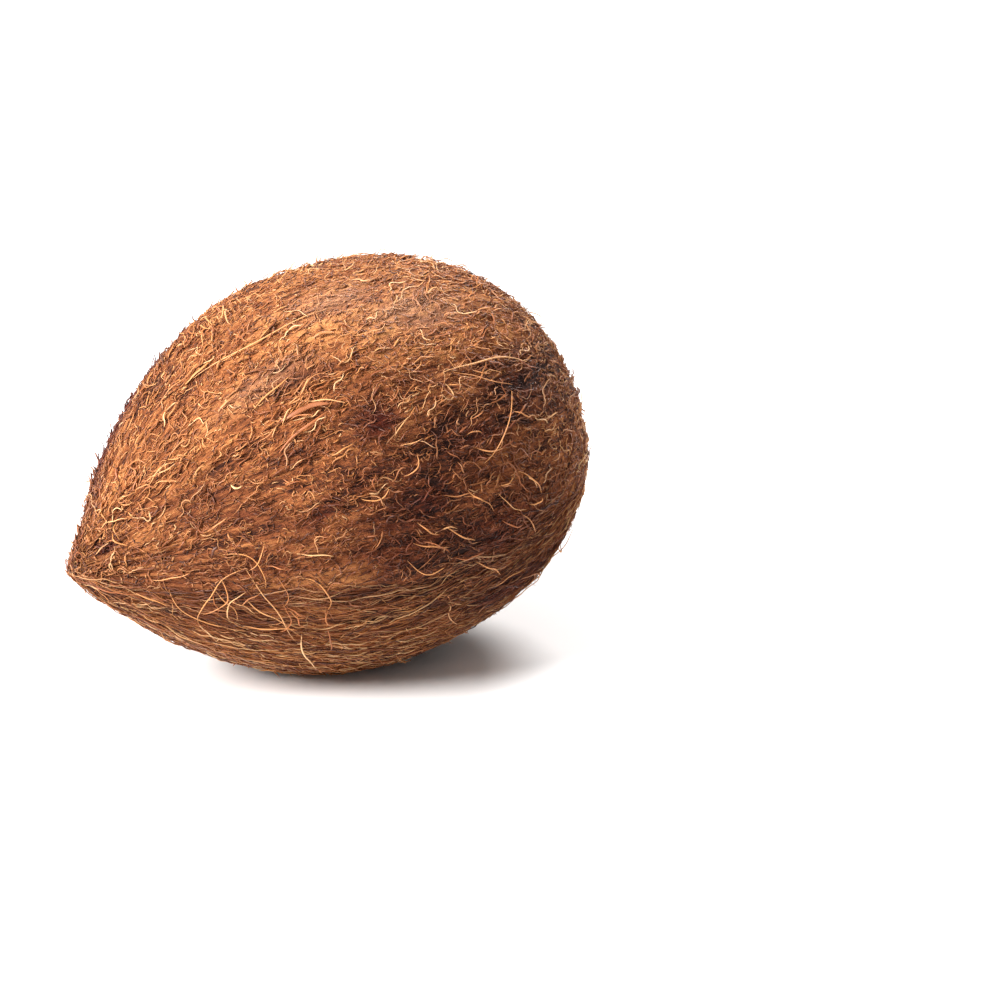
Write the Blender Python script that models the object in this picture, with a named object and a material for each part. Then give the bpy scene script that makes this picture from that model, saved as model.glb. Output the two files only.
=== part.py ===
"""A dehusked coconut lying on its side, as one closed solid.

The nut is one body that grew as one piece: an egg with a blunt pointed tip, three soft
lengthwise ridges, and three shallow eyes round its other, rounder end. It lies with its
tip towards -X and a little low, on a small flat spot. The origin is the middle of that
spot, +Z is up, and everything is in metres.
"""

import math

import bmesh
import bpy
from mathutils import Matrix, Vector

# Driving dimensions, in metres and degrees.
NUT_RADIUS = 0.0525  # mean radius at the widest place
TIP_LENGTH = 0.0795  # from the widest place to the tip
ROUND_LENGTH = 0.0690  # from the widest place to the round end
TIP_CURVE = (1.9, 0.93)  # how the radius falls towards the tip: power and fullness
ROUND_CURVE = (2.5, 0.43)  # the same towards the round end
TIP_DROP = 10.0  # how far the long axis leans down at the tip

THREE_SIDED = 0.012  # how far the section leaves a circle, as a share of the radius
RIDGE_ANGLE = -20.0  # the top ridge, from straight up towards the front (-Y) side
RIDGE_HEIGHT = 0.0010
RIDGE_HALF_WIDTH = 5.0  # degrees

EYE_OFFSET = 0.0150  # from the round end's pole to the middle of each eye
EYE_HALF_WIDTH = 0.0040
EYE_DEPTHS = (0.0020, 0.0014, 0.0014)  # the soft eye is the deepest

REST_DEPTH = 0.0012  # how much of the underside the flat spot takes off

TIP_RINGS = 22
ROUND_RINGS = 28
SEGMENTS = 60

HUSK_COLOUR = (0.235, 0.098, 0.036, 1.0)
HUSK_ROUGHNESS = 0.85


def clear_scene():
    for scene_object in list(bpy.data.objects):
        bpy.data.objects.remove(scene_object)


def profile_radius(along):
    """The nut's mean radius at a distance along its axis from the widest place."""
    if along < 0:
        length, (power, fullness) = TIP_LENGTH, TIP_CURVE
    else:
        length, (power, fullness) = ROUND_LENGTH, ROUND_CURVE
    share = min(abs(along) / length, 1.0)
    return NUT_RADIUS * (1.0 - share**power) ** fullness


def turn_from_ridge(angle):
    """The turn from the nearest of the three ridges, in radians."""
    third = math.tau / 3
    return (angle - math.radians(RIDGE_ANGLE) + third / 2) % third - third / 2


def section_radius(along, angle):
    """The radius at one angle round the axis, with the three sides and their ridges."""
    radius = profile_radius(along)
    from_ridge = turn_from_ridge(angle)
    fade = math.sqrt(radius / NUT_RADIUS)
    ridge = RIDGE_HEIGHT * math.exp(-((from_ridge / math.radians(RIDGE_HALF_WIDTH)) ** 2))
    return radius * (1.0 + THREE_SIDED * math.cos(3 * from_ridge)) + ridge * fade


def on_axis_frame(along, angle):
    """A point of the skin in the nut's own frame, with its axis along X."""
    radius = section_radius(along, angle)
    return Vector((along, -radius * math.sin(angle), radius * math.cos(angle)))


def eye_centres():
    """The middle of each eye: one in each side, between two ridges."""
    along = ROUND_LENGTH
    while profile_radius(along) < EYE_OFFSET:
        along -= 0.0001
    middles = [math.radians(RIDGE_ANGLE + 60 + 120 * side) for side in range(3)]
    return [on_axis_frame(along, angle) for angle in middles]


def press_eyes(mesh):
    """Pushes the skin in at the three eyes."""
    for centre, depth in zip(eye_centres(), EYE_DEPTHS):
        inward = Vector((-1.0, -centre.y / NUT_RADIUS, -centre.z / NUT_RADIUS)).normalized()
        for vertex in mesh.verts:
            away = (vertex.co - centre).length / EYE_HALF_WIDTH
            vertex.co += inward * depth * math.exp(-(away**2))


def ring_stations():
    """The rings' places along the axis, closer together towards both ends."""
    tip = [-TIP_LENGTH * math.sin(math.pi / 2 * i / TIP_RINGS) for i in range(TIP_RINGS)]
    end = [ROUND_LENGTH * math.sin(math.pi / 2 * i / ROUND_RINGS) for i in range(1, ROUND_RINGS)]
    return tip[::-1] + end


def nut_mesh():
    """The whole skin: rings round the axis, closed by a fan of triangles at each pole."""
    mesh = bmesh.new()
    rings = []
    for along in ring_stations():
        angles = [math.tau * i / SEGMENTS for i in range(SEGMENTS)]
        rings.append([mesh.verts.new(on_axis_frame(along, angle)) for angle in angles])
    for ring, following in zip(rings, rings[1:]):
        for i in range(SEGMENTS):
            j = (i + 1) % SEGMENTS
            mesh.faces.new((ring[i], ring[j], following[j], following[i]))
    tip = mesh.verts.new((-TIP_LENGTH, 0.0, 0.0))
    pole = mesh.verts.new((ROUND_LENGTH, 0.0, 0.0))
    for i in range(SEGMENTS):
        j = (i + 1) % SEGMENTS
        mesh.faces.new((rings[0][j], rings[0][i], tip))
        mesh.faces.new((rings[-1][i], rings[-1][j], pole))
    press_eyes(mesh)
    bmesh.ops.recalc_face_normals(mesh, faces=mesh.faces)
    return mesh


def lay_on_flat_spot(mesh):
    """Leans the nut, cuts the flat spot it rests on, and puts the spot's middle at the origin."""
    bmesh.ops.rotate(
        mesh, verts=mesh.verts, matrix=Matrix.Rotation(-math.radians(TIP_DROP), 3, "Y")
    )
    floor = min(vertex.co.z for vertex in mesh.verts) + REST_DEPTH
    bmesh.ops.bisect_plane(
        mesh,
        geom=mesh.verts[:] + mesh.edges[:] + mesh.faces[:],
        dist=1e-6,
        plane_co=(0.0, 0.0, floor),
        plane_no=(0.0, 0.0, -1.0),
        clear_outer=True,
    )
    rim = [edge for edge in mesh.edges if edge.is_boundary]
    spot = bmesh.ops.contextual_create(mesh, geom=rim)["faces"][0]
    middle = spot.calc_center_bounds()
    bmesh.ops.translate(mesh, verts=mesh.verts, vec=-middle)
    bmesh.ops.recalc_face_normals(mesh, faces=mesh.faces)
    bmesh.ops.triangulate(mesh, faces=mesh.faces)


def husk_material():
    """Dry brown coconut fibre over the shell: dull, with no metal in it."""
    material = bpy.data.materials.new("dry coconut fibre")
    material.use_nodes = True
    shader = material.node_tree.nodes["Principled BSDF"]
    shader.inputs["Base Color"].default_value = HUSK_COLOUR
    shader.inputs["Roughness"].default_value = HUSK_ROUGHNESS
    shader.inputs["Metallic"].default_value = 0.0
    return material


def build_coconut():
    mesh = nut_mesh()
    lay_on_flat_spot(mesh)
    data = bpy.data.meshes.new("coconut")
    mesh.to_mesh(data)
    mesh.free()
    data.shade_smooth()
    data.set_sharp_from_angle(angle=math.radians(40))
    data.materials.append(husk_material())
    coconut = bpy.data.objects.new("coconut", data)
    bpy.context.scene.collection.objects.link(coconut)
    return coconut


clear_scene()
build_coconut()
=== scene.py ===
"""The looks of a dehusked coconut: its coir skin, the fibres that stand off it, light and camera."""

import math

import bpy
import numpy as np
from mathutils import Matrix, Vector


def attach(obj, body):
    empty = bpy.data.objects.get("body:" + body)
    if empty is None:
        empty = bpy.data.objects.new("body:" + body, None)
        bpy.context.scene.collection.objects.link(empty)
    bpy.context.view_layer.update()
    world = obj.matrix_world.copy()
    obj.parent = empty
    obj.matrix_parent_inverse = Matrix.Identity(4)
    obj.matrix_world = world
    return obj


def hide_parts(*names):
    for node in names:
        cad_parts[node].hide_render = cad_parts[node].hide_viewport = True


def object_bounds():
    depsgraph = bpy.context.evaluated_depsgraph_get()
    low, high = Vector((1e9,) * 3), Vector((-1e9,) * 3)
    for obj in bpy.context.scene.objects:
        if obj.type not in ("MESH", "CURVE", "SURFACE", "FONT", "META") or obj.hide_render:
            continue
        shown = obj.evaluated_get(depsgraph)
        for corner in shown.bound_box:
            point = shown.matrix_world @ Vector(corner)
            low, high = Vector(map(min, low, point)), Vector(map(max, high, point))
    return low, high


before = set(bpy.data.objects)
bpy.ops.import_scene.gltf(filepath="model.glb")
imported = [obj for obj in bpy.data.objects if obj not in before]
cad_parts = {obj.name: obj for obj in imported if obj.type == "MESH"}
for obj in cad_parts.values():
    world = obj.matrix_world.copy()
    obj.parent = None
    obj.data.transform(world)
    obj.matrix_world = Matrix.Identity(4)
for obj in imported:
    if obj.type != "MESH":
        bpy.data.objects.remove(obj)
CAD_LOW, CAD_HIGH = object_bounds()

MM = 0.001

# The nut's driving sizes, the same as the solid's.
NUT_RADIUS = 52.5 * MM
TIP_LENGTH = 79.5 * MM
ROUND_LENGTH = 69 * MM
TIP_CURVE = (1.9, 0.93)  # the profile's power and fullness from the widest place to the tip
ROUND_CURVE = (2.5, 0.43)  # and to the round end
TIP_DROP = math.radians(10)
THREE_SIDED = 0.012
RIDGE_ANGLE = math.radians(-20)
RIDGE_HEIGHT = 1.0 * MM
RIDGE_HALF_WIDTH = math.radians(5)

EYE_OFFSET = 15 * MM
EYE_HALF_WIDTH = 4 * MM
EYE_DEPTHS = (2.0 * MM, 1.4 * MM, 1.4 * MM)

# The skin's own touches: a blunt tip, turned up a little, with a small pit and bump beside it.
TIP_STARTS = 0.86  # as a share of the tip's length
TIP_BLUNTNESS = 1.4 * MM
TIP_ROUNDING = 60  # the power that rounds the blunt tip off
TIP_RAISE = 1.2 * MM
# Each bump: mm along the nut, degrees of turn, half width in mm and height in mm.
BUMPS = ((-73, 47, 1.5, -2.0), (-73, 66, 2.2, 1.3))

# Where the skin or a single fibre would reach the floor, it ends this far above it.
SKIN_LOWEST = 0.05 * MM
FIBRE_LOWEST = 0.1 * MM

SKIN_RINGS = 158
SKIN_COLUMNS = 600

# ---------------------------------------------------------------- small helpers


def linear(colour):
    """An sRGB hex colour as the linear values that the shaders take."""
    parts = [int(colour[i : i + 2], 16) / 255 for i in (1, 3, 5)]
    return [p / 12.92 if p <= 0.04045 else ((p + 0.055) / 1.055) ** 2.4 for p in parts] + [1.0]


def add(tree, kind, inputs=(), **settings):
    """Adds a node with its settings, and sets or links its inputs, given in order or by name."""
    node = tree.nodes.new(kind)
    for name, value in settings.items():
        setattr(node, name, value)
    pairs = inputs.items() if isinstance(inputs, dict) else enumerate(inputs)
    for key, value in pairs:
        if isinstance(key, str):
            same = [socket for socket in node.inputs if key in (socket.identifier, socket.name)]
            socket = sorted(same, key=lambda s: (s.identifier != key, not s.enabled))[0]
        else:
            socket = node.inputs[key]
        if isinstance(value, bpy.types.Node):
            value = next(out for out in value.outputs if out.enabled)
        if isinstance(value, bpy.types.NodeSocket):
            tree.links.new(value, socket)
        elif value is not None:
            socket.default_value = value
    return node


def new_piece(name, mesh):
    """An object for a mesh, in the scene."""
    piece = bpy.data.objects.new(name, mesh)
    bpy.context.scene.collection.objects.link(piece)
    return piece


def store(mesh, name, kind, values):
    """Keeps one value or vector for each of the mesh's points."""
    layer = mesh.attributes.new(name, kind, "POINT")
    layer.data.foreach_set("vector" if kind == "FLOAT_VECTOR" else "value", np.ravel(values))


def made_plain(source, name):
    """The evaluated object as a plain mesh of its own."""
    graph = bpy.context.evaluated_depsgraph_get()
    mesh = bpy.data.meshes.new_from_object(source.evaluated_get(graph))
    mesh.name = name
    return mesh


# ---------------------------------------------------------------- the nut's shape


def smooth_step(low, high, value):
    """Rises smoothly from 0 at low to 1 at high."""
    share = np.clip((value - low) / (high - low), 0, 1)
    return share * share * (3 - 2 * share)


def profile_radius(along):
    """The nut's mean radius at a distance along its axis from its widest place."""
    towards_tip = along < 0
    length = np.where(towards_tip, TIP_LENGTH, ROUND_LENGTH)
    power = np.where(towards_tip, TIP_CURVE[0], ROUND_CURVE[0])
    fullness = np.where(towards_tip, TIP_CURVE[1], ROUND_CURVE[1])
    share = np.minimum(np.abs(along) / length, 1)
    return NUT_RADIUS * (1 - share**power) ** fullness


def turn_from_ridge(angle):
    """The angle from the nearest of the three ridges."""
    third = math.tau / 3
    return (angle - RIDGE_ANGLE + third / 2) % third - third / 2


def section_radius(along, angle):
    """The radius with the three faint sides and ridges."""
    radius = profile_radius(along)
    from_ridge = turn_from_ridge(angle)
    ridge = RIDGE_HEIGHT * np.exp(-((from_ridge / RIDGE_HALF_WIDTH) ** 2))
    return radius * (1 + THREE_SIDED * np.cos(3 * from_ridge)) + ridge * np.sqrt(radius / NUT_RADIUS)


def on_axis_frame(along, angle):
    """Points of the smooth skin, with the nut's axis along X and its widest place at 0."""
    radius = section_radius(along, angle)
    share = along / TIP_LENGTH
    near_tip = smooth_step(-TIP_STARTS, -1.0, share)
    rounding = np.sqrt(np.clip(1 - share**TIP_ROUNDING, 0, 1))
    radius = radius + TIP_BLUNTNESS * near_tip * rounding
    up = radius * np.cos(angle) + TIP_RAISE * near_tip
    return np.stack([along, -radius * np.sin(angle), up], -1)


def eye_share(along, angle):
    """How near each place is to one of the three eyes at the round end, and their depth there."""
    radius = section_radius(along, angle)
    share, depth = np.zeros_like(along), np.zeros_like(along)
    for count, eye_depth in enumerate(EYE_DEPTHS):
        eye = RIDGE_ANGLE + math.radians(60 + 120 * count)
        squared = radius**2 + EYE_OFFSET**2 - 2 * radius * EYE_OFFSET * np.cos(angle - eye)
        here = np.where(along > 0, np.exp(-squared / EYE_HALF_WIDTH**2), 0)
        share, depth = share + here, depth + here * eye_depth
    return np.clip(share, 0, 1), depth


def lean(points):
    """Turns points of the nut's own frame to its lie, with the tip a little low."""
    cosine, sine = math.cos(TIP_DROP), math.sin(TIP_DROP)
    x, y, z = np.moveaxis(points, -1, 0)
    return np.stack([x * cosine - z * sine, y, x * sine + z * cosine], -1)


def nut_place():
    """Where the widest place's middle lies: where the leaned skin meets the solid's box."""
    along, angle = np.meshgrid(
        np.linspace(-TIP_LENGTH, ROUND_LENGTH, 400), np.linspace(0, math.tau, 360)
    )
    skin = lean(on_axis_frame(along, angle)).reshape(-1, 3)
    low, high = skin.min(0), skin.max(0)
    return np.array([CAD_LOW[0] - low[0], CAD_LOW[1] - low[1], CAD_HIGH[2] - high[2]])


NUT_PLACE = nut_place()


def skin_point(along, angle):
    """Points of the smooth skin in the frame that the solid has."""
    return lean(on_axis_frame(along, angle)) + NUT_PLACE


def skin_directions(along, angle):
    """The outward normal and the lengthwise direction of the smooth skin."""
    step = 0.02 * MM
    turn = 0.0005
    shortest = 1e-12
    lengthwise = skin_point(along + step, angle) - skin_point(along - step, angle)
    around = skin_point(along, angle + turn) - skin_point(along, angle - turn)
    out = np.cross(around, lengthwise)
    out /= np.maximum(np.linalg.norm(out, axis=-1, keepdims=True), shortest)
    lengthwise /= np.maximum(np.linalg.norm(lengthwise, axis=-1, keepdims=True), shortest)
    return out, lengthwise


# ---------------------------------------------------------------- camera, light and floor

VIEW_AZIMUTH = -33.0  # degrees
VIEW_ELEVATION = 16.0  # degrees
VIEW_DISTANCE = 0.90  # metres
LENS = 122.4  # mm
SCALE_AT_NUT = 0.265 * MM  # what one thousandth of the view's width spans at the nut
NUT_IN_VIEW = (-166, 30)  # thousandths of the view's width from its middle, right and up
FLOOR_HALF_WIDTH = 12.0
ROOM_BRIGHT_SIDE = (-0.7, -0.1, 0.7)
ROOM_DIMMEST = 0.13
ROOM_BRIGHTEST = 0.62


def look_from(place, target):
    """The turn that points a camera or light at a target."""
    return (Vector(target) - Vector(place)).to_track_quat("-Z", "Y")


def build_camera():
    """Looks from the nut's side and a little above, with the nut left of the view's middle."""
    azimuth, elevation = math.radians(VIEW_AZIMUTH), math.radians(VIEW_ELEVATION)
    right = Vector((math.cos(azimuth), math.sin(azimuth), 0))
    level = Vector((math.sin(azimuth), -math.cos(azimuth), 0))
    back = level * math.cos(elevation) + Vector((0, 0, math.sin(elevation)))
    up = back.cross(right)
    data = bpy.data.cameras.new("camera")
    data.lens = LENS
    data.clip_start, data.clip_end = 0.01, 50
    camera = bpy.data.objects.new("camera", data)
    bpy.context.scene.collection.objects.link(camera)
    nut = Vector(NUT_PLACE)
    camera.location = nut + back * VIEW_DISTANCE
    target = nut - (right * NUT_IN_VIEW[0] + up * NUT_IN_VIEW[1]) * SCALE_AT_NUT
    camera.rotation_mode = "QUATERNION"
    camera.rotation_quaternion = look_from(camera.location, target)
    bpy.context.scene.camera = camera


def area_light(name, place, size, power):
    """A round white light pointed at the nut."""
    data = bpy.data.lights.new(name, "AREA")
    data.shape, data.size = "DISK", size
    data.energy = power
    light = bpy.data.objects.new(name, data)
    bpy.context.scene.collection.objects.link(light)
    light.location = place
    light.rotation_mode = "QUATERNION"
    light.rotation_quaternion = look_from(place, (0, 0, 0.05))


def white_room():
    """White to the eye; as a light, brighter from above and from the tip's side."""
    world = bpy.data.worlds.new("soft white room")
    world.use_nodes = True
    tree = world.node_tree
    tree.nodes.clear()
    place = add(tree, "ShaderNodeTexCoord")
    towards = add(
        tree,
        "ShaderNodeVectorMath",
        [place.outputs["Generated"], ROOM_BRIGHT_SIDE],
        operation="DOT_PRODUCT",
    )
    ends = {"From Min": -0.6, "To Min": ROOM_DIMMEST, "To Max": ROOM_BRIGHTEST}
    strength = add(tree, "ShaderNodeMapRange", {"Value": towards.outputs["Value"], **ends})
    seen = add(tree, "ShaderNodeLightPath")
    level = add(
        tree,
        "ShaderNodeMix",
        {"Factor_Float": seen.outputs["Is Camera Ray"], "A_Float": strength, "B_Float": 1.0},
    )
    light = add(
        tree, "ShaderNodeBackground", {"Color": linear("#FFFFFF"), "Strength": level.outputs[0]}
    )
    add(tree, "ShaderNodeOutputWorld", [light])
    return world


def paper_material():
    """White studio paper: smooth, nearly white, and paling into the white room further off."""
    material = bpy.data.materials.new("white studio paper")
    material.use_nodes = True
    tree = material.node_tree
    shader = tree.nodes["Principled BSDF"]
    shader.inputs["Base Color"].default_value = linear("#F7F6F5")
    shader.inputs["Roughness"].default_value = 0.35
    shader.inputs["Emission Color"].default_value = linear("#FFFFFF")
    place = add(tree, "ShaderNodeTexCoord")
    away = add(tree, "ShaderNodeVectorMath", [place.outputs["Object"]], operation="LENGTH")
    glow = add(
        tree,
        "ShaderNodeMapRange",
        {"Value": away.outputs["Value"], "From Min": 0.5, "From Max": 2.0, "To Max": 0.7},
    )
    tree.links.new(glow.outputs[0], shader.inputs["Emission Strength"])
    return material


def build_studio():
    """One large soft light from the tip's side, a weaker one behind, and a pale floor."""
    area_light("key", place=(-1.52, 0.0, 0.98), size=0.85, power=84)
    area_light("back", place=(1.0, 0.5, 1.35), size=0.9, power=36)
    bpy.context.scene.world = white_room()
    bpy.context.scene.view_settings.view_transform = "Standard"
    half = FLOOR_HALF_WIDTH
    corners = [(-half, -half, 0), (half, -half, 0), (half, half, 0), (-half, half, 0)]
    mesh = bpy.data.meshes.new("floor")
    mesh.from_pydata(corners, [], [(0, 1, 2, 3)])
    mesh.materials.append(paper_material())
    new_piece("floor", mesh)


# ---------------------------------------------------------------- where the coir differs

# Dark places in the coir. Many are its own stains, but the broad ones low on the front side,
# with half widths of 10 to 16 mm, are partly painted shade of the side turned from the key light,
# and the long band at -36 degrees is painted shade behind the upper ridge. Each: along the nut
# in mm, turn in degrees, half length and half width in mm, slant of the long way in degrees,
# and how dark.
STAINS_AND_SHADE = (
    (-52, 57, 13, 6, 10, 0.5),
    (-43, 72, 12, 4, 25, 0.6),
    (-30, 77, 12, 2.5, -25, 0.9),
    (-17, 71, 12, 2.5, -12, 0.9),
    (-47, 44, 9, 2.5, 15, 0.4),
    (-32, 56, 10, 3, 5, 0.5),
    (-10, 57, 9, 6, 0, 0.9),
    (-21, 34, 11, 3, 8, 0.45),
    (12, 74, 24, 16, -10, 0.75),
    (16, 98, 26, 16, 0, 0.85),
    (-8, 82, 24, 14, 0, 0.85),
    (-48, 100, 30, 14, 0, 0.6),
    (-14, 94, 28, 14, 0, 0.7),
    (-24, 76, 15, 7, -12, 0.55),
    (6, 50, 14, 8, 0, 0.45),
    (-20, 107, 22, 5, 0, 0.6),
    (34, 62, 18, 10, 0, 0.7),
    (-45, 99, 10, 3, 0, 0.5),
    (25, 125, 26, 10, 0, 0.9),
    (-73, 47, 2.4, 1.6, 0, 1.3),
    (-40, -36, 38, 7, 0, 1.25),
    (10, -38, 30, 3, 0, 0.8),
    (25, 165, 30, 12, 15, 0.6),
    (-25, 190, 25, 7, -10, 0.6),
    (0, 235, 35, 8, 8, 0.7),
    (20, -70, 22, 9, 18, 0.7),
    (-30, -85, 18, 6, -20, 0.8),
    (-40, -68, 12, 4, 25, 0.7),
    (5, -105, 26, 4, -14, 0.9),
    (45, -20, 12, 7, 0, 0.5),
    (48, -120, 14, 8, 30, 0.6),
)
# Pale, greyer places, worn smooth: the same six values.
WORN = (
    (2, 15, 12, 6, 5, 0.8),
    (17, 28, 13, 7, 0, 0.9),
    (-27, 29, 12, 3.5, 5, 0.5),
    (-10, -75, 16, 6, 10, 0.7),
    (25, -50, 14, 7, -15, 0.7),
    (-5, 215, 18, 6, 0, 0.6),
)
COMBED_ALL = math.radians(50)  # from the combed side's middle, where all fibres lie combed
COMBED_NONE = math.radians(64)  # and where none do
COMBED_BARENESS = 0.75  # how far tangled fibres are missing from the combed side
EYE_BARENESS = 0.9  # how far every fibre is missing from the eyes


def patches(along, angle, places):
    """The strength, from 0 to 1, of soft-edged oval places on the skin."""
    total = np.zeros_like(along)
    for place, turn, half_length, half_width, slant, strength in places:
        lengthways = along / MM - place
        turned = (angle - math.radians(turn) + math.pi) % math.tau - math.pi
        across = turned * profile_radius(along) / MM
        cosine, sine = math.cos(math.radians(slant)), math.sin(math.radians(slant))
        far = (lengthways * cosine + across * sine) / half_length
        aside = (across * cosine - lengthways * sine) / half_width
        total = np.maximum(total, strength * np.exp(-(far**2) - aside**2))
    return total


def combed_share(angle):
    """How much the fibres lie combed lengthwise: on the side between the lower two ridges."""
    turned = (angle - RIDGE_ANGLE) % math.tau - math.pi
    return 1 - smooth_step(COMBED_ALL, COMBED_NONE, np.abs(turned))


# ---------------------------------------------------------------- flat layouts for colour


def corner_points(mesh):
    """Each face corner's point and face, and how many corners each face has."""
    corners = np.empty(len(mesh.loops), np.int64)
    mesh.loops.foreach_get("vertex_index", corners)
    sizes = np.empty(len(mesh.polygons), np.int64)
    mesh.polygons.foreach_get("loop_total", sizes)
    return corners, np.repeat(np.arange(len(sizes)), sizes), sizes


def keep_layout(mesh, u, v):
    """Keeps a flat place, from 0 to 1 each way, for each face corner."""
    layer = mesh.uv_layers.new(name="OFBake")
    layer.data.foreach_set("uv", np.stack([u, v], -1).ravel())


def lay_skin_out(mesh):
    """The skin as one flat sheet: along the nut one way and round it the other."""
    corners, face, sizes = corner_points(mesh)
    ring, column = corners // SKIN_COLUMNS, corners % SKIN_COLUMNS
    at_end = corners >= (SKIN_RINGS - 1) * SKIN_COLUMNS
    usual = np.where(at_end, -1, column)
    most = np.full(len(sizes), -1)
    np.maximum.at(most, face, usual)
    wraps = (most[face] == SKIN_COLUMNS - 1) & (usual >= 0) & (column < 2)
    column = np.where(wraps, column + SKIN_COLUMNS, column)
    middle = np.zeros(len(sizes))
    np.add.at(middle, face, np.where(at_end, 0, column) / 2)
    column = np.where(at_end, middle[face], column)
    ring = np.where(at_end, np.where(corners % SKIN_COLUMNS == 0, -1, SKIN_RINGS - 1), ring)
    side_margin, end_margin = 0.005, 0.01
    u = side_margin + (1 - 2 * side_margin) * column / SKIN_COLUMNS
    v = end_margin + (1 - 2 * end_margin) * (ring + 1) / SKIN_RINGS
    keep_layout(mesh, u, v)


def lay_strands_out(mesh, sides, rings):
    """Each strand in a small cell of its own: along it one way and round it the other."""
    corners, face, sizes = corner_points(mesh)
    strand = corners // (sides * rings)
    ring, side = corners // sides % rings, corners % sides
    highest, lowest = np.full(len(sizes), -1), np.full(len(sizes), sides)
    np.maximum.at(highest, face, side)
    np.minimum.at(lowest, face, side)
    furthest, nearest = np.full(len(sizes), -1), np.full(len(sizes), rings)
    np.maximum.at(furthest, face, ring)
    np.minimum.at(nearest, face, ring)
    is_cap = (furthest == nearest)[face]
    wraps = (highest[face] == sides - 1) & (lowest[face] == 0) & ~is_cap & (side == 0)
    up = np.where(wraps, sides, side) / sides
    cap_share = 0.1
    ahead = cap_share + (1 - 2 * cap_share) * ring / (rings - 1)
    into_cap = 0.9 * cap_share * np.sin(math.pi * (side + 0.5) / sides)
    ahead = np.where(is_cap, np.where(ring == 0, into_cap, 1 - into_cap), ahead)
    count = int(strand.max()) + 1
    across = max(1, math.ceil(math.sqrt(count / 2)))
    down = math.ceil(count / across)
    end_margin, side_margin = 0.06, 0.08
    u = (strand % across + end_margin + (1 - 2 * end_margin) * ahead) / across
    v = (strand // across + side_margin + (1 - 2 * side_margin) * up) / down
    keep_layout(mesh, u, v)


# ---------------------------------------------------------------- the coir skin


def skin_grid():
    """Rings round the axis from the tip to the round end, closed by a point at each."""
    towards_tip = SKIN_RINGS // 2
    towards_end = SKIN_RINGS - towards_tip
    tip = -TIP_LENGTH * np.sin(math.pi / 2 * np.arange(towards_tip) / towards_tip)[::-1]
    end = ROUND_LENGTH * np.sin(math.pi / 2 * np.arange(1, towards_end) / towards_end)
    stations = np.concatenate([tip, end])
    turns = math.tau * np.arange(SKIN_COLUMNS) / SKIN_COLUMNS
    along, angle = np.meshgrid(stations, turns, indexing="ij")
    along = np.concatenate([along.ravel(), [-TIP_LENGTH, ROUND_LENGTH]])
    angle = np.concatenate([angle.ravel(), [0, 0]])
    rings = len(stations)
    faces = []
    for ring in range(rings - 1):
        for column in range(SKIN_COLUMNS):
            following = (column + 1) % SKIN_COLUMNS
            here, there = ring * SKIN_COLUMNS, (ring + 1) * SKIN_COLUMNS
            faces.append((here + column, there + column, there + following, here + following))
    tip_point, pole = rings * SKIN_COLUMNS, rings * SKIN_COLUMNS + 1
    last = (rings - 1) * SKIN_COLUMNS
    for column in range(SKIN_COLUMNS):
        following = (column + 1) % SKIN_COLUMNS
        faces.append((column, following, tip_point))
        faces.append((last + following, last + column, pole))
    return along, angle, faces


def lay_of(along, angle):
    """Where the coir's patterns are laid: straight along the nut, at one radius throughout."""
    return np.stack([along, NUT_RADIUS * np.cos(angle), NUT_RADIUS * np.sin(angle)], -1)


def use_tree(piece, tree, values):
    """Puts a node tree on a piece, with values for its named inputs."""
    modifier = piece.modifiers.new(tree.name, "NODES")
    modifier.node_group = tree
    for item in tree.interface.items_tree:
        if item.name in values:
            modifier[item.identifier] = values[item.name]


def new_tree(name, inputs):
    """A geometry node tree with its named inputs: each a socket kind and a usual value."""
    tree = bpy.data.node_groups.new(name, "GeometryNodeTree")
    tree.interface.new_socket("Geometry", in_out="INPUT", socket_type="NodeSocketGeometry")
    tree.interface.new_socket("Geometry", in_out="OUTPUT", socket_type="NodeSocketGeometry")
    for socket_name, (kind, value) in inputs.items():
        kind = "NodeSocket" + kind
        socket = tree.interface.new_socket(socket_name, in_out="INPUT", socket_type=kind)
        if value is not None:
            socket.default_value = value
    return tree, tree.nodes.new("NodeGroupInput").outputs


def relief_tree():
    """Lumps, lengthwise furrows and felted fibre, as noise laid along the nut."""
    # Each: its depth in metres, how often it repeats along and across in a metre, and its detail.
    reliefs = {
        "Lump": (0.0008, (26, 26, 26), 1.0),
        "Furrow": (0.0006, (16, 130, 130), 2.0),
        "Bundle": (0.0005, (90, 420, 420), 2.0),
        "Felt": (0.0006, (420, 640, 640), 2.0),
    }
    inputs = {name + " Depth": ("Float", values[0]) for name, values in reliefs.items()}
    tree, given = new_tree("coir relief", inputs)
    lay = add(tree, "GeometryNodeInputNamedAttribute", {"Name": "lay"}, data_type="FLOAT_VECTOR")
    out = add(tree, "GeometryNodeInputNamedAttribute", {"Name": "out"}, data_type="FLOAT_VECTOR")
    height = None
    for name, (_, scale, detail) in reliefs.items():
        where = add(tree, "ShaderNodeVectorMath", [lay, scale], operation="MULTIPLY")
        noise = add(tree, "ShaderNodeTexNoise", {"Vector": where, "Scale": 1.0, "Detail": detail})
        centred = add(tree, "ShaderNodeMath", [noise, 0.5], operation="SUBTRACT")
        depth = given[name + " Depth"]
        height = add(
            tree,
            "ShaderNodeMath",
            {0: centred, 1: depth, 2: height or 0.0},
            operation="MULTIPLY_ADD",
        )
    doubled = add(tree, "ShaderNodeMath", [height, 2.0], operation="MULTIPLY")
    shift = add(tree, "ShaderNodeVectorMath", {0: out, "Scale": doubled}, operation="SCALE")
    kept = add(
        tree,
        "GeometryNodeStoreNamedAttribute",
        {"Geometry": given["Geometry"], "Name": "height", "Value": doubled},
        data_type="FLOAT",
    )
    moved = add(tree, "GeometryNodeSetPosition", {"Geometry": kept, "Offset": shift})
    add(tree, "NodeGroupOutput", [moved])
    return tree


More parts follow.
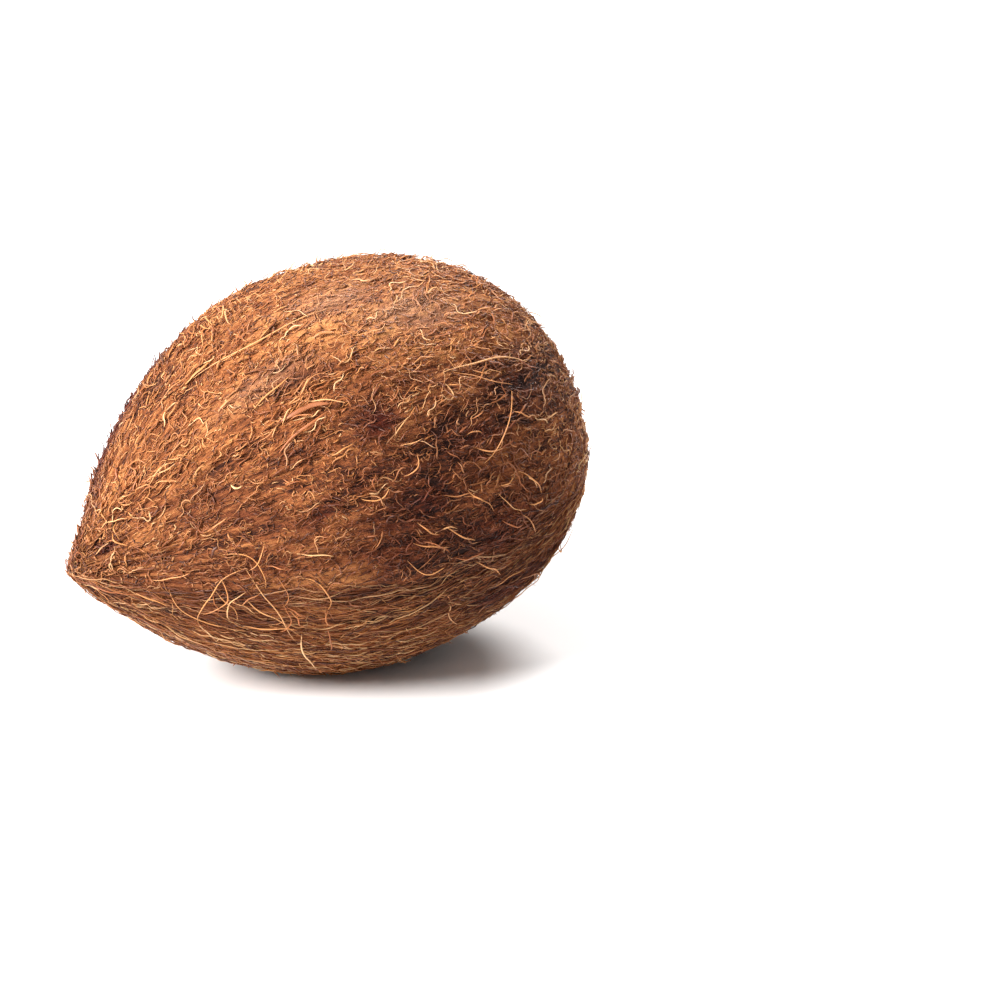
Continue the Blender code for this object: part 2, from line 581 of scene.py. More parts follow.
def build_skin(material):
    """The felted skin, with what the coats need to know of it at each point."""
    along, angle, faces = skin_grid()
    points = skin_point(along, angle)
    out, lengthwise = skin_directions(along, angle)
    ahead = lean(np.array([1.0, 0, 0]))
    out[-2], out[-1] = -ahead, ahead
    eyes, eye_depth = eye_share(along, angle)
    points -= ahead * eye_depth[:, None]
    for place, turn, half_width, height in BUMPS:
        middle = skin_point(np.array(place * MM), np.array(math.radians(turn)))
        squared = ((points - middle) ** 2).sum(-1) / (half_width * MM) ** 2
        points += out * (height * MM * np.exp(-squared))[:, None]
    mesh = bpy.data.meshes.new("husk")
    mesh.from_pydata(points.tolist(), [], faces)
    mesh.update()
    store(mesh, "out", "FLOAT_VECTOR", out)
    store(mesh, "grain", "FLOAT_VECTOR", lengthwise)
    store(mesh, "lay", "FLOAT_VECTOR", lay_of(along, angle))
    combed = combed_share(angle)
    # The dark places: the coir's own stains, painted shade on the side away from the light, and the
    # eyes.
    store(mesh, "stain_and_shade", "FLOAT", patches(along, angle, STAINS_AND_SHADE) + eyes)
    store(mesh, "worn", "FLOAT", patches(along, angle, WORN))
    store(mesh, "combed", "FLOAT", combed * (1 - EYE_BARENESS * eyes))
    store(mesh, "tangled", "FLOAT", (1 - COMBED_BARENESS * combed) * (1 - EYE_BARENESS * eyes))
    mesh.shade_smooth()
    mesh.materials.append(material)
    source = new_piece("unworked skin", mesh)
    use_tree(source, relief_tree(), {})
    skin = new_piece("husk", made_plain(source, "husk"))
    bpy.data.objects.remove(source)
    places = np.empty(len(skin.data.vertices) * 3)
    skin.data.vertices.foreach_get("co", places)
    places[2::3] = np.maximum(places[2::3], SKIN_LOWEST)
    skin.data.vertices.foreach_set("co", places)
    skin.data.update()
    lay_skin_out(skin.data)
    return skin


def weathered_and_shaded(tree, colour):
    """Coir's changes over the nut: broad patches, pale worn places, and dark places that are partly
    stains and partly painted shade.
    """
    lay = add(tree, "ShaderNodeAttribute", attribute_name="lay")
    stain_and_shade = add(tree, "ShaderNodeAttribute", attribute_name="stain_and_shade")
    worn = add(tree, "ShaderNodeAttribute", attribute_name="worn")
    where = add(
        tree, "ShaderNodeVectorMath", [lay.outputs["Vector"], (40, 120, 120)], operation="MULTIPLY"
    )
    patch = add(
        tree,
        "ShaderNodeTexNoise",
        {"Vector": where, "Scale": 1.0, "Detail": 4.0, "Roughness": 0.6, "Distortion": 0.8},
    )
    centred = add(tree, "ShaderNodeMath", [patch, 0.5], operation="SUBTRACT")
    stain_and_shade_level = add(
        tree, "ShaderNodeMath", [centred, 1.1, stain_and_shade.outputs["Fac"]], operation="MULTIPLY_ADD"
    )
    mask = add(tree, "ShaderNodeMapRange", {"Value": stain_and_shade_level, "From Min": 0.0, "From Max": 0.9})
    # Multiplies in a reddish brown, over stains and painted shade alike.
    dark = add(
        tree,
        "ShaderNodeMix",
        {"Factor_Float": mask, "A_Color": colour, "B_Color": linear("#84533C")},
        data_type="RGBA",
        blend_type="MULTIPLY",
    )
    wear = add(tree, "ShaderNodeMath", [worn.outputs["Fac"], patch], operation="MULTIPLY")
    pale = add(
        tree,
        "ShaderNodeMix",
        {"Factor_Float": wear, "A_Color": dark.outputs[2], "B_Color": linear("#A98068")},
        data_type="RGBA",
    )
    return pale.outputs[2]


def shade_ramp(tree, value, stops):
    """A colour ramp over a value: places from 0 to 1, each with its sRGB colour."""
    node = add(tree, "ShaderNodeValToRGB", [value])
    elements = node.color_ramp.elements
    while len(elements) < len(stops):
        elements.new(0.5)
    for element, (place, colour) in zip(elements, stops):
        element.position, element.color = place, linear(colour)
    return node


def skin_material():
    """Felted coir: short dry fibres matted flat, dull brown, with painted shade down in its pits and
    painted light on its raised felt.
    """
    material = bpy.data.materials.new("felted coir")
    material.use_nodes = True
    tree = material.node_tree
    shader = tree.nodes["Principled BSDF"]
    lay = add(tree, "ShaderNodeAttribute", attribute_name="lay")
    height = add(tree, "ShaderNodeAttribute", attribute_name="height")
    noises = []
    for scale in ((260, 1300, 1300), (1100, 1700, 1700)):
        where = add(
            tree, "ShaderNodeVectorMath", [lay.outputs["Vector"], scale], operation="MULTIPLY"
        )
        noises.append(
            add(
                tree,
                "ShaderNodeTexNoise",
                {"Vector": where, "Scale": 1.0, "Detail": 4.0, "Roughness": 0.6, "Distortion": 0.6},
            )
        )
    mixed = add(tree, "ShaderNodeMath", noises, operation="ADD")
    half = add(tree, "ShaderNodeMath", [mixed, 0.5], operation="MULTIPLY")
    # Painted shade and light: the felt's colour is darker where its relief sinks and paler where it
    # rises.
    painted_shade_by_height = 350.0
    raised = add(
        tree,
        "ShaderNodeMath",
        [height.outputs["Fac"], painted_shade_by_height, half],
        operation="MULTIPLY_ADD",
    )
    stops = ((0.34, "#3A1A0C"), (0.5, "#8F5029"), (0.7, "#C4844D"))
    fibre = shade_ramp(tree, raised, stops)
    tree.links.new(weathered_and_shaded(tree, fibre), shader.inputs["Base Color"])
    shader.inputs["Roughness"].default_value = 0.85
    shader.inputs["Specular IOR Level"].default_value = 0.25
    bump = add(tree, "ShaderNodeBump", {"Height": mixed, "Distance": 0.0005, "Strength": 1.0})
    tree.links.new(bump.outputs["Normal"], shader.inputs["Normal"])
    return material


# ---------------------------------------------------------------- the fibres that stand off it

COAT_SIDES = 3
SWIRL_SCALE = 110.0  # how often in a metre the fibres' common lie swirls
SWIRL_TURN = 2.6  # how far it swirls, in radians for a stray of 1
CURL_TURN = 4.0  # how far one fibre wanders, in radians for a curl of 1
HUMP_PACE = 1.3  # how many humps a fibre has for each kink
SUNK_SHARE = 0.3  # below this share of its humps' height a fibre sinks into the felt
FREE_END_POWER = 3.0  # how late along a fibre its free end rises
TAPER_POWER = 4.0  # how near its ends a fibre thins
END_THINNING = 0.8


def coat_tree():
    """Fibres strewn over the skin: each lies along the grain, wanders, and rises off the felt."""
    inputs = {
        "Strands": ("Float", 100000.0),
        "Where": ("String", "tangled"),
        "Length": ("Float", 0.006),
        "Length Spread": ("Float", 0.4),
        "Thickness": ("Float", 0.0002),
        "Stray": ("Float", 0.6),
        "Curl": ("Float", 1.5),
        "Kinks": ("Float", 2.0),
        "Lift": ("Float", 0.0006),
        "Rise": ("Float", 0.0),
        "Flatness": ("Float", 1.0),
        "Darkest": ("Float", 0.0),
        "Palest": ("Float", 1.0),
        "Segments": ("Int", 6),
        "Seed": ("Int", 1),
        "Material": ("Material", None),
    }
    tree, given = new_tree("coir coat", inputs)
    skin = given["Geometry"]
    vectors = {
        name: add(tree, "GeometryNodeInputNamedAttribute", {"Name": name}, data_type="FLOAT_VECTOR")
        for name in ("out", "grain", "root")
    }
    floats = {
        name: add(tree, "GeometryNodeInputNamedAttribute", {"Name": name}, data_type="FLOAT")
        for name in ("own", "reach", "heading", "along", "thick", "free")
    }
    ranges = {
        "own": (0.0, 1000.0),
        "reach": (-1.0, 1.0),
        "stray": (-1.0, 1.0),
        "stray share": (0.0, 1.0),
        "tint": (0.0, 1.0),
        "thick": (0.55, 1.45),
        "free": (-0.6, 1.0),
    }
    randoms = {
        name: add(
            tree,
            "FunctionNodeRandomValue",
            {"Min_001": low, "Max_001": high, "Seed": seed},
            data_type="FLOAT",
        )
        for seed, (name, (low, high)) in enumerate(ranges.items())
    }

    # Roots strewn over the skin, each with what its own fibre is like.
    where = add(tree, "GeometryNodeInputNamedAttribute", {"Name": given["Where"]}, data_type="FLOAT")
    density = add(tree, "ShaderNodeMath", [given["Strands"], where], operation="MULTIPLY")
    points = add(
        tree,
        "GeometryNodeDistributePointsOnFaces",
        {"Mesh": skin, "Density": density, "Seed": given["Seed"]},
    )
    spread = add(
        tree,
        "ShaderNodeMath",
        [randoms["reach"], given["Length Spread"], 1.0],
        operation="MULTIPLY_ADD",
    )
    reach = add(tree, "ShaderNodeMath", [spread, given["Length"]], operation="MULTIPLY")
    swirl = add(tree, "ShaderNodeTexNoise", {"Scale": SWIRL_SCALE, "Detail": 1.0})
    swirl_turn = add(tree, "ShaderNodeMath", [swirl, 0.5], operation="SUBTRACT")
    lone_turn = add(
        tree, "ShaderNodeMath", [randoms["stray"], randoms["stray share"]], operation="MULTIPLY"
    )
    turn = add(
        tree, "ShaderNodeMath", [swirl_turn, SWIRL_TURN, lone_turn], operation="MULTIPLY_ADD"
    )
    heading = add(tree, "ShaderNodeMath", [turn, given["Stray"]], operation="MULTIPLY")
    position = add(tree, "GeometryNodeInputPosition")
    tint = add(
        tree,
        "ShaderNodeMapRange",
        {"Value": randoms["tint"], "To Min": given["Darkest"], "To Max": given["Palest"]},
    )
    facts = points
    for name, kind, value in (
        ("root", "FLOAT_VECTOR", position),
        ("own", "FLOAT", randoms["own"]),
        ("reach", "FLOAT", reach),
        ("heading", "FLOAT", heading),
        ("tint", "FLOAT", tint),
        ("thick", "FLOAT", randoms["thick"]),
        ("free", "FLOAT", randoms["free"]),
    ):
        facts = add(
            tree,
            "GeometryNodeStoreNamedAttribute",
            {"Geometry": facts, "Name": name, "Value": value},
            data_type=kind,
        )

    # One straight line for each root, then bent: a fibre's heading wanders along its length.
    line = add(tree, "GeometryNodeCurvePrimitiveLine")
    count = add(tree, "ShaderNodeMath", [given["Segments"], 1.0], operation="ADD")
    cut = add(tree, "GeometryNodeResampleCurve", {"Curve": line, "Count": count})
    strewn = add(tree, "GeometryNodeInstanceOnPoints", {"Points": facts, "Instance": cut})
    lines = add(tree, "GeometryNodeRealizeInstances", [strewn])
    factor = add(tree, "GeometryNodeSplineParameter")
    marked = add(
        tree,
        "GeometryNodeStoreNamedAttribute",
        {"Geometry": lines, "Name": "along", "Value": factor.outputs["Factor"]},
        data_type="FLOAT",
    )
    wander_at = add(tree, "ShaderNodeMath", [floats["along"], given["Kinks"]], operation="MULTIPLY")
    wander_place = add(tree, "ShaderNodeCombineXYZ", [wander_at, floats["own"], 0.0])
    wander = add(
        tree, "ShaderNodeTexNoise", {"Vector": wander_place, "Scale": 1.0, "Detail": 1.0}
    )
    wander_turn = add(tree, "ShaderNodeMath", [wander, 0.5], operation="SUBTRACT")
    curl = add(tree, "ShaderNodeMath", [given["Curl"], CURL_TURN], operation="MULTIPLY")
    bent = add(
        tree, "ShaderNodeMath", [wander_turn, curl, floats["heading"]], operation="MULTIPLY_ADD"
    )
    step = add(tree, "ShaderNodeMath", [floats["reach"], given["Segments"]], operation="DIVIDE")
    cosine = add(tree, "ShaderNodeMath", [bent], operation="COSINE")
    sine = add(tree, "ShaderNodeMath", [bent], operation="SINE")
    ahead = add(tree, "ShaderNodeMath", [cosine, step], operation="MULTIPLY")
    aside = add(tree, "ShaderNodeMath", [sine, step], operation="MULTIPLY")
    stride = add(tree, "ShaderNodeCombineXYZ", [ahead, aside, 0.0])
    curve_of = add(tree, "GeometryNodeCurveOfPoint")
    walked = add(
        tree,
        "GeometryNodeAccumulateField",
        {"Value": stride, "Group ID": curve_of.outputs["Curve Index"]},
        data_type="FLOAT_VECTOR",
    )
    middle = add(
        tree, "ShaderNodeVectorMath", {0: walked.outputs["Total"], "Scale": -0.5}, operation="SCALE"
    )
    offset = add(
        tree, "ShaderNodeVectorMath", [walked.outputs["Trailing"], middle], operation="ADD"
    )
    parts = add(tree, "ShaderNodeSeparateXYZ", [offset])
    side = add(
        tree, "ShaderNodeVectorMath", [vectors["out"], vectors["grain"]], operation="CROSS_PRODUCT"
    )
    forth = add(
        tree,
        "ShaderNodeVectorMath",
        {0: vectors["grain"], "Scale": parts.outputs[0]},
        operation="SCALE",
    )
    sideways = add(
        tree, "ShaderNodeVectorMath", {0: side, "Scale": parts.outputs[1]}, operation="SCALE"
    )
    flat = add(tree, "ShaderNodeVectorMath", [vectors["root"], forth], operation="ADD")
    flat = add(tree, "ShaderNodeVectorMath", [flat, sideways], operation="ADD")

    # Laid back on the skin, then lifted off it in a hump, with one end free.
    nearest = add(
        tree,
        "GeometryNodeProximity",
        {"Target": skin, "Source Position": flat},
        target_element="FACES",
    )
    outward = add(
        tree,
        "GeometryNodeSampleNearestSurface",
        {"Mesh": skin, "Value": vectors["out"], "Sample Position": flat},
        data_type="FLOAT_VECTOR",
    )
    hump_place = add(tree, "ShaderNodeCombineXYZ", [wander_at, floats["own"], 7.0])
    hump = add(
        tree, "ShaderNodeTexNoise", {"Vector": hump_place, "Scale": HUMP_PACE, "Detail": 0.0}
    )
    hump_up = add(tree, "ShaderNodeMath", [hump, SUNK_SHARE], operation="SUBTRACT")
    lifted = add(tree, "ShaderNodeMath", [hump_up, given["Lift"]], operation="MULTIPLY")
    tail = add(tree, "ShaderNodeMath", [floats["along"], FREE_END_POWER], operation="POWER")
    tail_up = add(tree, "ShaderNodeMath", [tail, floats["free"]], operation="MULTIPLY")
    raised = add(tree, "ShaderNodeMath", [tail_up, given["Rise"], lifted], operation="MULTIPLY_ADD")
    up = add(tree, "ShaderNodeVectorMath", {0: outward, "Scale": raised}, operation="SCALE")
    laid = add(tree, "ShaderNodeVectorMath", [nearest.outputs["Position"], up], operation="ADD")
    lowest = add(tree, "ShaderNodeCombineXYZ", [-1.0, -1.0, given["Thickness"]])
    above = add(tree, "ShaderNodeVectorMath", [laid, lowest], operation="MAXIMUM")
    shaped = add(tree, "GeometryNodeSetPosition", {"Geometry": marked, "Position": above})

    # Given body: thinner towards both ends.
    from_middle = add(
        tree, "ShaderNodeMath", [floats["along"], 2.0, -1.0], operation="MULTIPLY_ADD"
    )
    near_end = add(tree, "ShaderNodeMath", [from_middle, TAPER_POWER], operation="POWER")
    taper = add(tree, "ShaderNodeMath", [near_end, -END_THINNING, 1.0], operation="MULTIPLY_ADD")
    half_thickness = add(tree, "ShaderNodeMath", [given["Thickness"], 0.5], operation="MULTIPLY")
    body = add(tree, "ShaderNodeMath", [taper, half_thickness], operation="MULTIPLY")
    radius = add(tree, "ShaderNodeMath", [body, floats["thick"]], operation="MULTIPLY")
    circle = add(
        tree, "GeometryNodeCurvePrimitiveCircle", {"Resolution": COAT_SIDES, "Radius": 1.0}
    )
    oval = add(tree, "ShaderNodeCombineXYZ", [1.0, given["Flatness"], 1.0])
    ring = add(tree, "GeometryNodeTransform", {"Geometry": circle, "Scale": oval})
    tubes = add(
        tree,
        "GeometryNodeCurveToMesh",
        {"Curve": shaped, "Profile Curve": ring, "Scale": radius, "Fill Caps": True},
    )
    smooth = add(tree, "GeometryNodeSetShadeSmooth", [tubes])
    real = add(tree, "GeometryNodeRealizeInstances", [smooth])
    dressed = add(
        tree, "GeometryNodeSetMaterial", {"Geometry": real, "Material": given["Material"]}
    )
    add(tree, "NodeGroupOutput", [dressed])
    return tree


def fibre_material():
    """Loose coir fibres: woody, slightly glossy threads from dark brown to pale gold."""
    material = bpy.data.materials.new("coir fibre")
    material.use_nodes = True
    tree = material.node_tree
    shader = tree.nodes["Principled BSDF"]
    tint = add(tree, "ShaderNodeAttribute", attribute_name="tint")
    stops = ((0.0, "#4E240D"), (0.45, "#9C582B"), (0.8, "#C8874D"), (1.0, "#EDC08A"))
    colour = shade_ramp(tree, tint.outputs["Fac"], stops)
    tree.links.new(weathered_and_shaded(tree, colour), shader.inputs["Base Color"])
    shader.inputs["Roughness"].default_value = 0.5
    return material


# Each coat: how many fibres to a square metre, and what they are like, with lengths in metres.
FELT = {"Strands": 125000.0, "Length": 0.0024, "Length Spread": 0.5, "Thickness": 0.00024,
        "Stray": 1.1, "Curl": 1.3, "Lift": 0.0008, "Palest": 0.85, "Segments": 4}
GRAINS = {**FELT, "Strands": 160000.0, "Length": 0.0014, "Thickness": 0.00040, "Stray": 2.2}
COATS = {
    "felt_1": {**FELT, "Seed": 1},
    "felt_2": {**FELT, "Seed": 2, "Stray": 1.6, "Length": 0.0018},
    "felt_3": {**FELT, "Seed": 3, "Length": 0.0034, "Stray": 0.7},
    "grains_1": {**GRAINS, "Seed": 4},
    "grains_2": {**GRAINS, "Seed": 12, "Length": 0.0018, "Thickness": 0.00032, "Palest": 0.95},
    "shreds": {"Strands": 60000.0, "Length": 0.0040, "Thickness": 0.00070, "Stray": 0.9,
               "Curl": 0.9, "Kinks": 1.0, "Lift": 0.0020, "Rise": 0.0013, "Flatness": 0.3,
               "Darkest": 0.1, "Palest": 0.8, "Seed": 9, "Segments": 6},
    "curls_1": {"Strands": 75000.0, "Length": 0.0040, "Thickness": 0.00030, "Stray": 1.7,
                "Curl": 2.0, "Kinks": 1.1, "Lift": 0.0022, "Rise": 0.0018, "Darkest": 0.2,
                "Palest": 0.92, "Seed": 5, "Segments": 8},
    "curls_2": {"Strands": 24000.0, "Length": 0.0066, "Thickness": 0.00034, "Stray": 1.2,
                "Curl": 2.0, "Kinks": 1.6, "Lift": 0.0020, "Rise": 0.0026, "Darkest": 0.3,
                "Seed": 6, "Segments": 12},
    "combed_1": {"Strands": 66000.0, "Where": "combed", "Length": 0.026, "Thickness": 0.00034,
                 "Stray": 0.22, "Curl": 0.5, "Kinks": 3.0, "Lift": 0.0024, "Seed": 7,
                 "Segments": 26},
    "combed_2": {"Strands": 150000.0, "Where": "combed", "Length": 0.011, "Thickness": 0.00028,
                 "Stray": 0.5, "Curl": 0.7, "Lift": 0.0018, "Seed": 8, "Segments": 10},
}

# Single loose fibres and flakes. Each starts at a place (mm along the nut, degrees of turn),
# sets off at a heading to the grain, runs for a length in mm and bends by so many degrees;
# then its width, thickness, hump and free end's height in mm, and its tint.
LOOSE = (
    (-38, 6, 13, 38, -26, 0.45, 0.3, 0.6, 0.2, 0.85),
    (-40, 5, 8, 8, -20, 0.8, 0.3, 0.4, 0.2, 0.8),
    (-34, 35, -8, 12, 5, 0.5, 0.3, 0.4, 0.4, 0.78),
    (-31, 44, 12, 13, 40, 1.6, 0.3, 0.6, 1.6, 0.36),
    (-34, 53, -11, 15, 22, 0.8, 0.3, 0.8, 1.0, 0.42),
    (-24, 41, 35, 11, -6, 0.4, 0.3, 1.0, 1.2, 0.85),
    (-24, 40, -4, 10, 72, 0.3, 0.25, 1.6, 1.5, 0.6),
    (-17, -14, 129, 10, 60, 0.45, 0.35, 1.6, 0.6, 0.85),
    (-17, -8, 124, 10, -50, 0.45, 0.35, 1.8, 1.2, 0.85),
    (-13, -10, 110, 8, 60, 0.4, 0.3, 1.5, 1.0, 0.8),
    (-20, -15, 118, 10, -40, 0.4, 0.3, 1.6, 1.6, 0.8),
    (-24, -13, 100, 7, -70, 0.4, 0.3, 1.5, 1.0, 0.75),
    (-28, -8, 120, 7, 60, 0.4, 0.3, 1.5, 1.0, 0.75),
    (-12, 25, 27, 6, 47, 1.1, 0.3, 1.0, 1.2, 0.6),
    (-40, 27, 5, 4, 47, 0.8, 0.3, 0.7, 1.0, 0.65),
    (-9, 31, -1, 7, 57, 0.35, 0.3, 1.2, 1.0, 0.75),
    (-24, 61, -7, 6, -10, 0.35, 0.25, 0.8, 0.8, 0.78),
    (-75, 49, -11, 3.5, 0, 0.45, 0.3, 1.1, 0.9, 0.9),
    (-60, 25, 26, 8, -26, 0.35, 0.3, 1.0, 1.2, 0.85),
    (-60, 29, -3, 6, -20, 0.35, 0.3, 1.0, 1.5, 0.85),
    (-59, 32, 45, 6, 30, 0.35, 0.3, 1.3, 1.0, 0.78),
    (-52, 46, -18, 5, 135, 0.4, 0.3, 1.0, 1.2, 0.7),
    (-46, 55, 40, 3, -107, 0.5, 0.35, 0.8, 0.8, 0.95),
    (-55, 70, -18, 6, -24, 0.4, 0.3, 0.9, 0.6, 0.7),
    (-67, 95, -15, 8, -30, 0.3, 0.3, 1.0, 0.6, 0.78),
    (-44, 81, 123, 8, 46, 0.3, 0.28, 1.8, 0.8, 0.8),
    (-49, 91, 113, 21, -90, 0.3, 0.28, 1.6, 0.8, 0.8),
    (-53, 83, 59, 15, 120, 0.3, 0.28, 1.8, 0.8, 0.78),
    (-49, 90, 64, 26, -5, 0.32, 0.28, 1.4, 0.6, 0.85),
    (-56, 100, 60, 11, 40, 0.3, 0.3, 1.2, 0.8, 0.75),
    (-51, 124, -8, 13, 30, 0.35, 0.28, 0.8, 0.6, 0.8),
    (-37, 124, 62, 17, -32, 0.45, 0.3, 1.2, 1.6, 0.95),
    (-39, 97, 60, 14, 106, 0.35, 0.28, 1.2, 0.6, 0.75),
    (-70, 113, 17, 7, 38, 0.3, 0.28, 0.8, 0.6, 0.75),
    (-64, 101, 35, 16, -90, 0.35, 0.28, 1.2, 0.8, 0.78),
    (-38, 88, 15, 8, 7, 0.4, 0.3, 0.8, 0.6, 0.9),
    (13, 51, 8, 27, 23, 0.45, 0.3, 1.2, 0.8, 0.85),
    (16, 52, 30, 17, -12, 0.32, 0.25, 1.0, 0.8, 0.7),
    (14, 79, -48, 20, -37, 0.35, 0.3, 2.0, 3.0, 0.75),
    (-21, 76, -5, 8, -100, 0.35, 0.3, 1.0, 0.8, 0.8),
    (-9, 74, -42, 7, -107, 0.35, 0.3, 1.0, 0.8, 0.75),
    (-1, 92, 38, 9, -30, 0.4, 0.3, 1.4, 0.8, 0.75),
    (-11, 93, 21, 10, -15, 0.35, 0.3, 1.0, 0.6, 0.7),
    (7, 106, 42, 11, 25, 0.4, 0.3, 1.6, 1.2, 0.75),
    (-62, 2, 60, 10, 50, 0.4, 0.3, 1.5, 1.8, 0.55),
    (-48, -2, 20, 12, -20, 0.4, 0.3, 1.0, 0.8, 0.6),
    (-20, -80, 10, 30, 12, 0.5, 0.3, 0.8, 0.8, 0.8),
    (5, -95, 160, 16, 30, 0.8, 0.3, 1.2, 1.8, 0.6),
    (-35, -110, -20, 24, 40, 0.35, 0.3, 1.8, 1.2, 0.78),
    (20, 200, 170, 26, 20, 0.35, 0.3, 1.5, 1.5, 0.75),
    (-20, 215, 15, 30, -18, 0.4, 0.3, 1.2, 1.5, 0.8),
    (30, 250, 150, 18, -30, 0.5, 0.3, 1.2, 2.0, 0.7),
    (-45, -150, 5, 28, -14, 0.4, 0.3, 1.4, 1.6, 0.8),
)
# Where more of them gather: a place and turn, its half length in mm and half turn in degrees,
# how many, their usual heading and the spread about it, their length in mm and their bend.
GATHERED = (
    (-20, -12, 9, 8, 26, 105, 30, 6, 70),
    (-58, 28, 5, 10, 12, 35, 30, 5, 50),
    (-68, 20, 6, 22, 16, 60, 50, 4, 60),
    (-50, 100, 8, 9, 9, 80, 60, 9, 70),
    (-36, 114, 8, 6, 6, 50, 40, 8, 60),
    (-30, 47, 8, 9, 10, 0, 40, 6, 40),
    (10, 60, 22, 16, 16, 10, 50, 7, 60),
    (5, 92, 22, 12, 16, 25, 40, 8, 60),
    (28, 6, 22, 26, 26, 0, 70, 5, 70),
    (-25, -75, 20, 20, 20, 0, 60, 9, 60),
    (10, 180, 35, 60, 40, 0, 60, 10, 60),
    (0, 245, 30, 40, 30, 0, 60, 8, 60),
)
LOOSE_RINGS = 16
LOOSE_SIDES = 6
LOOSE_WAVER = 7  # degrees
LOOSE_CLEARANCE = 0.35  # mm above the smooth skin
END_SIZE = 0.12  # a fibre's width at its ends, as a share of its middle's


def gathered_fibres():
    """More single fibres, at random about each gathering's place."""
    chance = np.random.default_rng(11)
    found = []
    for place, turn, half, half_turn, count, heading, spread, length, bend in GATHERED:
        for _ in range(count):
            fibre = (
                place + half * chance.uniform(-1, 1),
                turn + half_turn * chance.uniform(-1, 1),
                heading + spread * chance.uniform(-1, 1),
                length * chance.uniform(0.5, 1.4),
                bend * chance.uniform(-1.5, 1.5),
                chance.uniform(0.2, 0.42),
                0.25,
                chance.uniform(0.4, 2.2),
                chance.uniform(0.2, 1.8),
                chance.uniform(0.4, 0.9),
            )
            found.append(fibre)
    return found


def fibre_path(place, turn, heading, length, bend):
    """A single fibre's way over the skin: its distances along the nut and its angles."""
    share = np.linspace(0, 1, LOOSE_RINGS)
    waver = LOOSE_WAVER * np.sin(9 * share + place)
    headings = np.radians(heading + bend * (share - 0.5) + waver)
    step = length * MM / (LOOSE_RINGS - 1)
    along, angle = np.empty(LOOSE_RINGS), np.empty(LOOSE_RINGS)
    here, there = place * MM, math.radians(turn)
    for ring in range(LOOSE_RINGS):
        along[ring], angle[ring] = here, there
        here += step * math.cos(headings[ring])
        there += step * math.sin(headings[ring]) / profile_radius(here)
    return along, angle


def fibre_rings(along, angle, turn, width, thickness, hump, free):
    """Oval rings along a way, smaller towards both ends and humped up off the skin."""
    share = np.linspace(0, 1, LOOSE_RINGS)
    round_about = math.tau * np.arange(LOOSE_SIDES) / LOOSE_SIDES
    out, _ = skin_directions(along, angle)
    # Humped unevenly, with its far end free.
    humped = hump * np.sin(math.pi * share) * (0.8 + 0.3 * np.sin(7 * share + turn))
    height = LOOSE_CLEARANCE + humped + free * share**2
    line = skin_point(along, angle) + out * (height * MM)[:, None]
    ahead = np.gradient(line, axis=0)
    ahead /= np.linalg.norm(ahead, axis=-1, keepdims=True)
    side = np.cross(ahead, out)
    side /= np.linalg.norm(side, axis=-1, keepdims=True)
    up = np.cross(side, ahead)
    fullness = np.sin(math.pi * np.clip(share * 0.94 + 0.03, 0, 1)) ** 0.8
    body = END_SIZE + (1 - END_SIZE) * fullness
    wide = side * (width * MM / 2 * body)[:, None]
    thick = up * (thickness * MM / 2 * np.sqrt(body))[:, None]
    rings = (
        line[:, None]
        + wide[:, None] * np.cos(round_about)[None, :, None]
        + thick[:, None] * np.sin(round_about)[None, :, None]
    )
    return rings.reshape(-1, 3)


def fibre_faces(first):
    """The sides and both ends of the single fibre whose points begin at a number."""
    faces = []
    for ring in range(LOOSE_RINGS - 1):
        near = first + ring * LOOSE_SIDES
        far = near + LOOSE_SIDES
        for column in range(LOOSE_SIDES):
            following = (column + 1) % LOOSE_SIDES
            faces.append((near + column, near + following, far + following, far + column))
    last = first + (LOOSE_RINGS - 1) * LOOSE_SIDES
    faces.append(tuple(first + column for column in reversed(range(LOOSE_SIDES))))
    faces.append(tuple(last + column for column in range(LOOSE_SIDES)))
    return faces


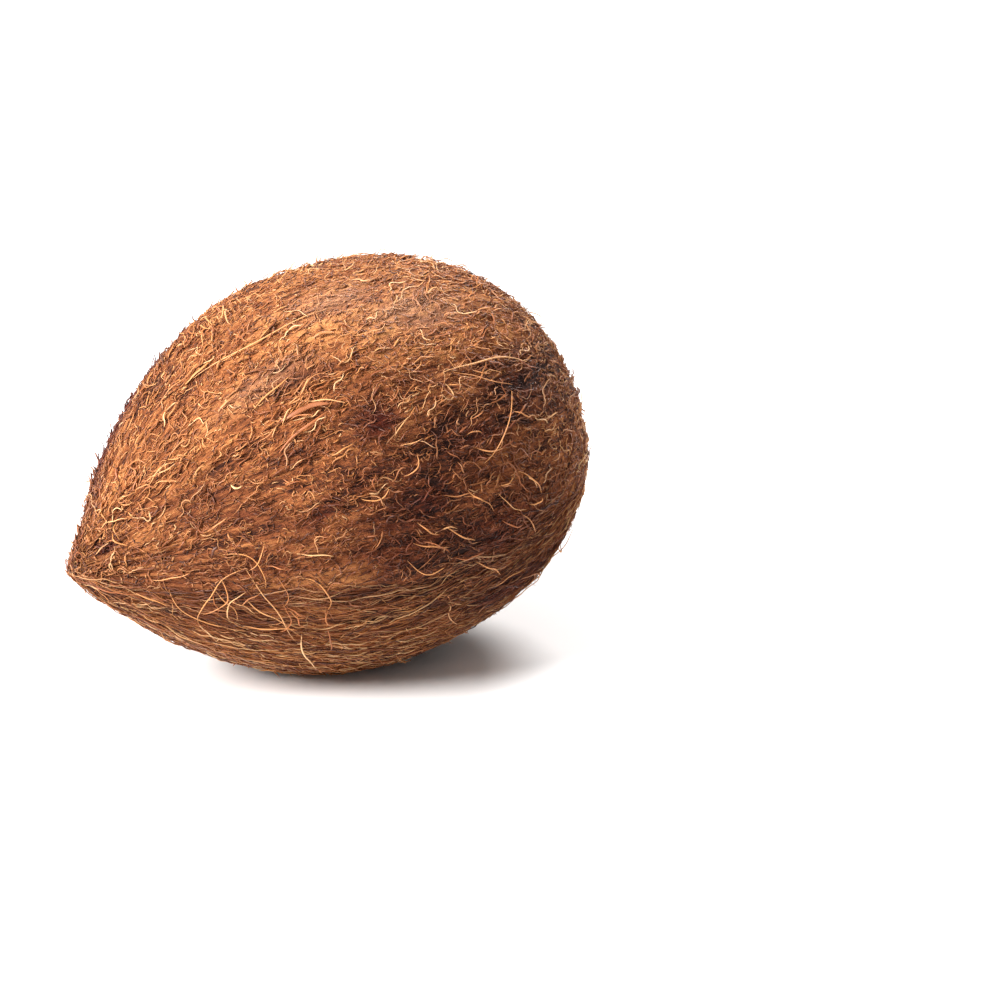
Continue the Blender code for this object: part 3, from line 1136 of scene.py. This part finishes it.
def loose_fibres(material):
    """Every single fibre and flake, as one piece."""
    points, faces, tints, places, turns = [], [], [], [], []
    each = LOOSE_RINGS * LOOSE_SIDES
    for place, turn, heading, length, bend, *body, tint in [*LOOSE, *gathered_fibres()]:
        along, angle = fibre_path(place, turn, heading, length, bend)
        faces.extend(fibre_faces(len(points) * each))
        points.append(fibre_rings(along, angle, turn, *body))
        tints.append(np.full(each, tint))
        places.append(np.repeat(along, LOOSE_SIDES))
        turns.append(np.repeat(angle, LOOSE_SIDES))
    points = np.concatenate(points)
    points[:, 2] = np.maximum(points[:, 2], FIBRE_LOWEST)
    along, angle = np.concatenate(places), np.concatenate(turns)
    mesh = bpy.data.meshes.new("loose_fibres")
    mesh.from_pydata(points.tolist(), [], faces)
    mesh.update()
    store(mesh, "tint", "FLOAT", np.concatenate(tints))
    # A loose fibre takes only some of the stain and painted shade that lie under it.
    store(mesh, "stain_and_shade", "FLOAT", 0.5 * patches(along, angle, STAINS_AND_SHADE) - 0.25)
    store(mesh, "worn", "FLOAT", np.zeros(len(points)))
    store(mesh, "lay", "FLOAT_VECTOR", lay_of(along, angle))
    mesh.shade_smooth()
    mesh.materials.append(material)
    lay_strands_out(mesh, LOOSE_SIDES, LOOSE_RINGS)
    return new_piece("loose_fibres", mesh)


def grow_coat(name, skin, tree, values, material):
    """One coat of fibres over the skin, as a plain piece."""
    source = new_piece("growing", skin.data)
    use_tree(source, tree, {**values, "Material": material})
    coat = new_piece(name, made_plain(source, name))
    bpy.data.objects.remove(source)
    lay_strands_out(coat.data, COAT_SIDES, values["Segments"] + 1)
    drop_helpers(coat.data)
    return coat


def drop_helpers(mesh):
    """Leaves on a mesh only what the shaders read and the shape needs."""
    kept = {"tint", "stain_and_shade", "worn", "lay", "height", "position", "sharp_face", "OFBake"}
    for name in [a.name for a in mesh.attributes if a.name not in kept]:
        if not name.startswith(".") and name != "material_index":
            mesh.attributes.remove(mesh.attributes[name])


build_camera()
build_studio()
husk = build_skin(skin_material())
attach(husk, "root")
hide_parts("coconut")
fibre = fibre_material()
tree = coat_tree()
for name, values in COATS.items():
    coat = grow_coat(name, husk, tree, values, fibre)
    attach(coat, "root")
loose = loose_fibres(fibre)
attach(loose, "root")
drop_helpers(husk.data)
